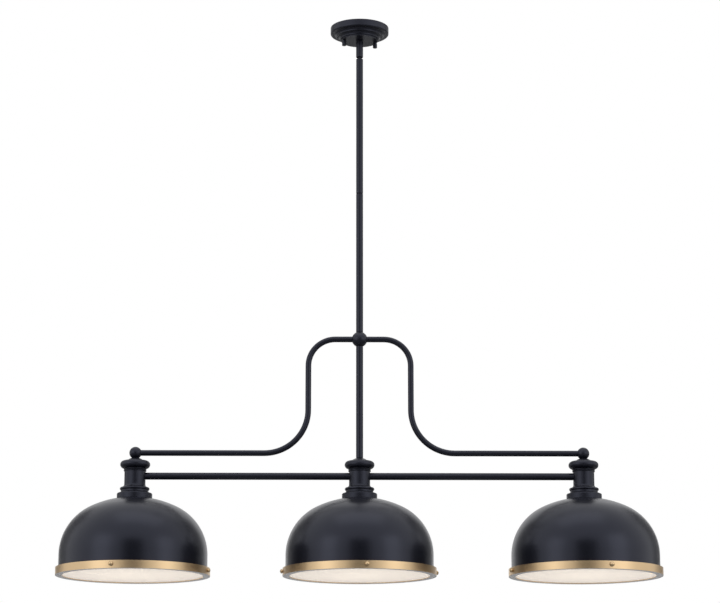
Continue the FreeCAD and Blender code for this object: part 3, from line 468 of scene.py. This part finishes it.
for side in SIDES:
    low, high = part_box("bulb_" + side)
    place = Matrix.Translation(((low.x + high.x) / 2, (low.y + high.y) / 2, high.z))
    bulb = turned_skin("threaded_bulb_" + side, bulb_outline, BULB_SEGMENTS, place, thread)
    for finish in (bulb_shell, bulb_insulator, bulb_glass):
        bulb.data.materials.append(finish)
    for face in bulb.data.polygons:
        face.material_index = bulb_material(face.center.z - high.z)
    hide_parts("bulb_" + side)
    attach(bulb, "bulb_body_" + side)
print("faces in one bulb:", len(bulb.data.polygons))

# %% [markdown]
# ## Ribbed wire connectors
# A twist-on connector is a plastic cone with ribs that the fingers grip, above a plain skirt. The
# ribs fade out towards the skirt and the tip, so again the radius is a rule of angle and height.

# %% Two wire connectors
RIB_COUNT = 14
RIB_DEPTH = 0.0005
RIB_STEPS = 24
RIBS_START, RIBS_END = 0.25, 0.97
FADE_IN, FADE_OUT = 8, 12
CONNECTOR_LENGTH = 0.019
CONNECTOR_SEGMENTS = 84
MOUTH_RADIUS = 0.0054
TIP_RADIUS = 0.0032
LEAD_BORE = 0.0014
BORE_DEPTH = 0.009
MOUTH_BEVEL = 0.0004
TIP_BEVEL = 0.0008


def ribs(reach, angle, level):
    if reach < TIP_RADIUS:
        return reach
    share = level / CONNECTOR_LENGTH
    grip = max(0.0, min(1.0, (share - RIBS_START) * FADE_IN, (RIBS_END - share) * FADE_OUT))
    return reach - RIB_DEPTH * grip * (1 + math.cos(angle * RIB_COUNT)) / 2


connector_outline = [
    (0, BORE_DEPTH), (LEAD_BORE, BORE_DEPTH), (LEAD_BORE + MOUTH_BEVEL, 0),
    (MOUTH_RADIUS - MOUTH_BEVEL, 0), (MOUTH_RADIUS, MOUTH_BEVEL)]
for step in range(1, RIB_STEPS + 1):
    share = step / RIB_STEPS * RIBS_END
    plain = MOUTH_RADIUS + (TIP_RADIUS - MOUTH_RADIUS) * share
    connector_outline.append((plain, CONNECTOR_LENGTH * share))
connector_outline += [(TIP_RADIUS - TIP_BEVEL, CONNECTOR_LENGTH), (0, CONNECTOR_LENGTH)]
low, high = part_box("wire_connectors")
for sign, name in ((-1, "front"), (1, "back")):
    mouth = sign * (high.y - CONNECTOR_LENGTH)
    turn = Matrix.Rotation(-sign * math.pi / 2, 4, "X")
    place = Matrix.Translation((0, mouth, (low.z + high.z) / 2)) @ turn
    connector = turned_skin("ribbed_connector_" + name, connector_outline, CONNECTOR_SEGMENTS,
                            place, ribs)
    connector.data.materials.append(connector_plastic)
    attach(connector, "base")
    if name == "front":
        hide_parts("wire_connectors")
print("faces in one connector:", len(connector.data.polygons))

# %% [markdown]
# ## The studio's white and its floor
# The photograph is a product shot on white. More light would bleach the object too, so the white
# comes from the world's strength for camera, glossy and transmitted rays, while the object is lit
# by a dimmer world. The lamp hangs far above any floor: the pale floor is there for what it
# reflects onto the undersides, and the camera doesn't see it, or it would hide the lamp from below.

# %% World and floor
WORLD_GLOW = 0.45
FLOOR_LEVEL = -2.2
FLOOR_REACH = 12.0
world = bpy.data.worlds.new("studio")
bpy.context.scene.world = world
world.use_nodes = True
tree = world.node_tree
background = tree.nodes["Background"]
background.inputs["Color"].default_value = (1, 1, 1, 1)
rays = add_node(tree, "ShaderNodeLightPath")
seen = maths(tree, "MAXIMUM", rays.outputs["Is Camera Ray"], maths(
    tree, "MAXIMUM", rays.outputs["Is Glossy Ray"], rays.outputs["Is Transmission Ray"]))
tree.links.new(between(tree, seen, WORLD_GLOW, 1.0), background.inputs["Strength"])


def board(name, size, place, finish):
    """A flat board of the studio, which the camera doesn't see."""
    bm = bmesh.new()
    bmesh.ops.create_grid(bm, x_segments=1, y_segments=1, size=0.5)
    bmesh.ops.scale(bm, verts=bm.verts, vec=(*size, 1))
    bm.transform(place)
    mesh = bpy.data.meshes.new(name)
    bm.to_mesh(mesh)
    bm.free()
    mesh.materials.append(finish)
    sheet = bpy.data.objects.new(name, mesh)
    sheet.visible_camera = False
    bpy.context.collection.objects.link(sheet)


floor_finish = new_finish("pale floor", (0.52, 0.52, 0.52), roughness=0.9)[0]
board("floor", (2 * FLOOR_REACH, 2 * FLOOR_REACH), Matrix.Translation((0, 0, FLOOR_LEVEL)),
      floor_finish)
print("world and floor are ready, with the floor at", FLOOR_LEVEL)

# %% [markdown]
# ## Soft boxes
# Two wide soft boxes stand to the left and right of the camera and draw the broad soft lights on
# each dome. A third hangs above, for the tops of the shades and the bar. An area lamp does this
# better than a point lamp, because a large lamp gives a soft edge on a satin coat.

# %% Soft boxes
AIM = Vector((0, 0, -1.0))


def soft_box(name, spot, width, height, power):
    light = bpy.data.lights.new(name, "AREA")
    light.shape = "RECTANGLE"
    light.size = width
    light.size_y = height
    light.energy = power
    lamp = bpy.data.objects.new(name, light)
    turn = (AIM - Vector(spot)).to_track_quat("-Z", "Y").to_matrix().to_4x4()
    lamp.matrix_world = Matrix.Translation(spot) @ turn
    bpy.context.collection.objects.link(lamp)


soft_box("left soft box", (-3.0, -2.6, -0.3), width=1.8, height=2.4, power=12)
soft_box("right soft box", (3.0, -2.4, -0.3), width=1.8, height=2.4, power=12)
soft_box("overhead soft box", (0.0, -0.8, 1.8), width=3.0, height=1.6, power=9)
print("soft boxes:", len(bpy.data.lights))

# %% [markdown]
# ## Flags
# The front of each dome shows a dark upright patch: the room behind the camera. A dark board there,
# a flag in a studio, gives that reflection and takes nothing from the light on the sides. At its
# edges a dome mirrors what stands at the back, to the left and right, and so do the bezels' ends.
# A grey board on each side keeps those edges from fading into the white.

# %% Flags behind the camera and at the back
BOARD_DISTANCE = 6.0
FLAG_SIZE, FLAG_LEVEL = (3.4, 4.2), -0.5
BACK_SIZE, BACK_LEVEL = (3.4, 6.0), 1.0
BACK_BEARING = math.radians(46)
upright = Matrix.Rotation(math.pi / 2, 4, "X")
flag_finish = new_finish("dark flag", (0.15, 0.15, 0.15), roughness=0.9)[0]
board("flag behind the camera", FLAG_SIZE,
      Matrix.Translation((0.0, -BOARD_DISTANCE, FLAG_LEVEL)) @ upright, flag_finish)
grey_finish = new_finish("grey board", (0.75, 0.75, 0.75), roughness=0.9)[0]
for sign, side in ((-1, "left"), (1, "right")):
    place = Matrix.Rotation(-sign * BACK_BEARING, 4, "Z") @ Matrix.Translation(
        (0.0, BOARD_DISTANCE, BACK_LEVEL))
    board("grey_board_" + side, BACK_SIZE, place @ upright, grey_finish)

# %% [markdown]
# ## The camera
# The photograph was taken with a long lens from below the shades, looking up: the diffusers show
# as thin ellipses and the canopy's underside as a wider one. Those two ellipses fix the distance,
# the height and the tilt of the camera, and the width of the bar fixes the lens.

# %% Camera
CAMERA_DISTANCE = 4.7056
CAMERA_LEVEL = -1.699
CAMERA_SHIFT = 0.0009
CAMERA_TURN = math.radians(0.6)
CAMERA_PITCH = math.radians(12.926)
LENS = 112.3
SENSOR_WIDTH = 36.0
SIGHT_END = 100.0
camera_data = bpy.data.cameras.new("camera")
camera_data.lens = LENS
camera_data.sensor_width = SENSOR_WIDTH
camera_data.clip_end = SIGHT_END
camera = bpy.data.objects.new("camera", camera_data)
turn = Matrix.Rotation(-CAMERA_TURN, 4, "Z") @ Matrix.Rotation(math.pi / 2 + CAMERA_PITCH, 4, "X")
spot = Vector((-math.sin(CAMERA_TURN), -math.cos(CAMERA_TURN), 0)) * CAMERA_DISTANCE
camera.matrix_world = Matrix.Translation(spot + Vector((CAMERA_SHIFT, 0, CAMERA_LEVEL))) @ turn
bpy.context.collection.objects.link(camera)
bpy.context.scene.camera = camera
bpy.context.scene.view_settings.view_transform = "Standard"
print("camera at", [round(value, 3) for value in camera.matrix_world.translation])
